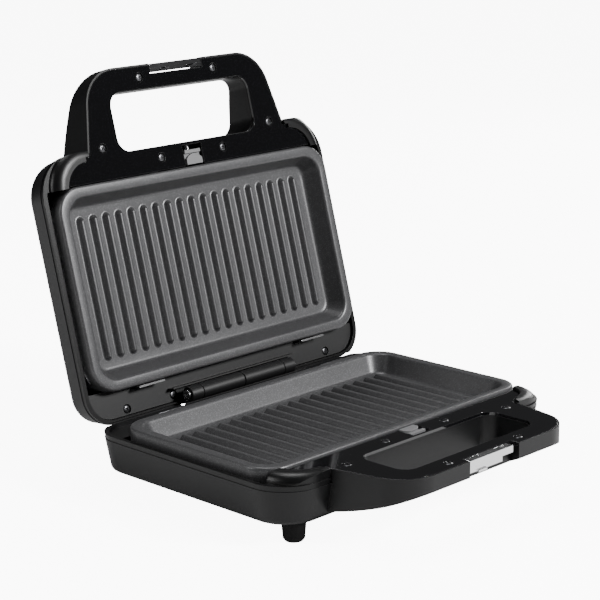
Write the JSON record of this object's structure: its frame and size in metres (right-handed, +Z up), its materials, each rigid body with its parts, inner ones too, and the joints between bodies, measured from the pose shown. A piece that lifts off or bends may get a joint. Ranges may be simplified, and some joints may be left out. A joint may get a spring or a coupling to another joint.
{
  "type": "panini press",
  "caption": "Hinged contact grill for pressed sandwiches: ribbed removable plates in two sloping housings, loop handles, latch and plate releases, lid leaning open.",
  "frame": {"origin": "on the surface the press stands on, under the middle of its outline with the lid leaning open", "axes": "+Z up, +Y from the handles to the hinge, +X to the right seen from the handles"},
  "size_m": [0.2542, 0.293, 0.2602],
  "materials": {
    "housing_black": "satin black moulded plastic, fine texture",
    "frame_black": "satin black moulded plastic",
    "cover_gloss": "glossy black handle covers",
    "strip_black": "matte black plastic strips behind the plates",
    "nonstick": "dark grey speckled non-stick coating on cast aluminium",
    "reflector_steel": "bright aluminised sheet",
    "spring_steel": "bright steel clips, springs and screws",
    "screw_black": "dark zinc-plated screws",
    "latch_chrome": "polished chrome latch pieces",
    "button_grey": "light grey release buttons",
    "element_tube": "heat-stained steel tube",
    "ceramic": "white ceramic and heat-proof plastic",
    "wire_sleeve": "glass-fibre sleeved leads",
    "rubber_black": "black rubber",
    "lens_red": "clear red plastic",
    "board_green": "green circuit board"
  },
  "bodies": {
    "base": {"base_housing": "housing_black", "base_bottom_cover": "strip_black", "base_rim_frame": "frame_black", "base_handle_cover": "cover_gloss", "base_rear_strip": "strip_black", "base_reflector": "reflector_steel", "base_heating_element": "element_tube", "base_element_clamps": "spring_steel", "base_thermostat": "ceramic", "terminal_block": "ceramic", "base_wiring": "wire_sleeve", "cord_gland": "rubber_black", "base_knuckles": "frame_black", "hinge_pin": "spring_steel", "hinge_end_screws": "spring_steel", "base_plate_clips": "spring_steel", "base_cover_screws": "spring_steel", "base_strip_screws": "screw_black", "bottom_screws": "screw_black", "front_feet": "rubber_black", "rear_feet": "rubber_black", "base_release_spring": "spring_steel"},
    "lid": {"lid_housing": "housing_black", "lid_rim_frame": "frame_black", "lid_handle_cover": "cover_gloss", "lid_rear_strip": "strip_black", "lid_reflector": "reflector_steel", "lid_heating_element": "element_tube", "lid_element_clamps": "spring_steel", "lid_thermal_fuse": "ceramic", "lid_wiring": "wire_sleeve", "lid_knuckles": "frame_black", "lid_plate_clips": "spring_steel", "lid_cover_screws": "screw_black", "lid_strip_screws": "screw_black", "latch_keeper": "latch_chrome", "indicator_lenses": "lens_red", "indicator_board": "board_green", "lid_release_spring": "spring_steel"},
    "base_release": {"base_release_button": "button_grey"},
    "lid_release": {"lid_release_button": "button_grey"},
    "lower_plate": {"lower_grill_plate": "nonstick"},
    "upper_plate": {"upper_grill_plate": "nonstick"},
    "latch": {"latch_slide": "latch_chrome"}
  },
  "joints": [
    {"name": "lid_hinge", "type": "hinge", "parent": "base", "child": "lid", "pos_m": [0, 0.07502, 0.0465], "axis": [-1, 0, 0], "range_deg": [-104.7, 0]},
    {"name": "lower_plate_lift", "type": "slide", "parent": "base", "child": "lower_plate", "axis": [0, 0, 1], "range_m": [0, 0.04]},
    {"name": "upper_plate_lift", "type": "slide", "parent": "lid", "child": "upper_plate", "axis": [0, -0.9673, 0.2538], "range_m": [0, 0.018]},
    {"name": "base_release_push", "type": "slide", "parent": "base", "child": "base_release", "axis": [0, -1, 0], "range_m": [0, 0.003], "stiffness_N_per_m": 250, "springref_m": -0.002, "deforming": ["base_release_spring"]},
    {"name": "lid_release_push", "type": "slide", "parent": "lid", "child": "lid_release", "axis": [0, 0.2538, 0.9673], "range_m": [0, 0.003], "stiffness_N_per_m": 250, "springref_m": -0.002, "deforming": ["lid_release_spring"]},
    {"name": "latch_slide_lock", "type": "slide", "parent": "base", "child": "latch", "axis": [1, 0, 0], "range_m": [0, 0.005]}
  ]
}
